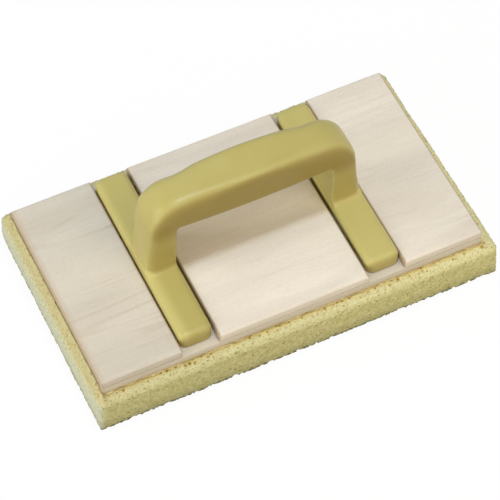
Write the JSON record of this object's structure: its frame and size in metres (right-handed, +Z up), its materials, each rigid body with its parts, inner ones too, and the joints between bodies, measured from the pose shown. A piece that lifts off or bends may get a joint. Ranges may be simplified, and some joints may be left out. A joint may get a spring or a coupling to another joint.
{
  "type": "sponge grout float",
  "caption": "Hand float for washing and smoothing grout or render: a sponge pad glued under a two-layer wooden board with a moulded plastic bridge handle.",
  "frame": {"origin": "middle of the sponge's underside, which rests on Z = 0", "axes": "+X along the board to its right end, +Y across it away from the user's side in the picture, +Z up through the handle"},
  "size_m": [0.2812, 0.1604, 0.109],
  "materials": {
    "sponge": "open-celled pale yellow polyurethane foam with coarse pores",
    "glue": "dried amber contact glue",
    "wood": "planed pale poplar, bare, grain along the length",
    "handle_plastic": "satin moulded khaki plastic",
    "screw_steel": "zinc-plated steel"
  },
  "bodies": {
    "root": {"sponge_pad": "sponge", "glue_film": "glue", "base_board": "wood", "left_top_board": "wood", "middle_top_board": "wood", "right_top_board": "wood", "handle": "handle_plastic", "handle_screw_left_front": "screw_steel", "handle_screw_left_back": "screw_steel", "handle_screw_right_front": "screw_steel", "handle_screw_right_back": "screw_steel"}
  },
  "joints": []
}
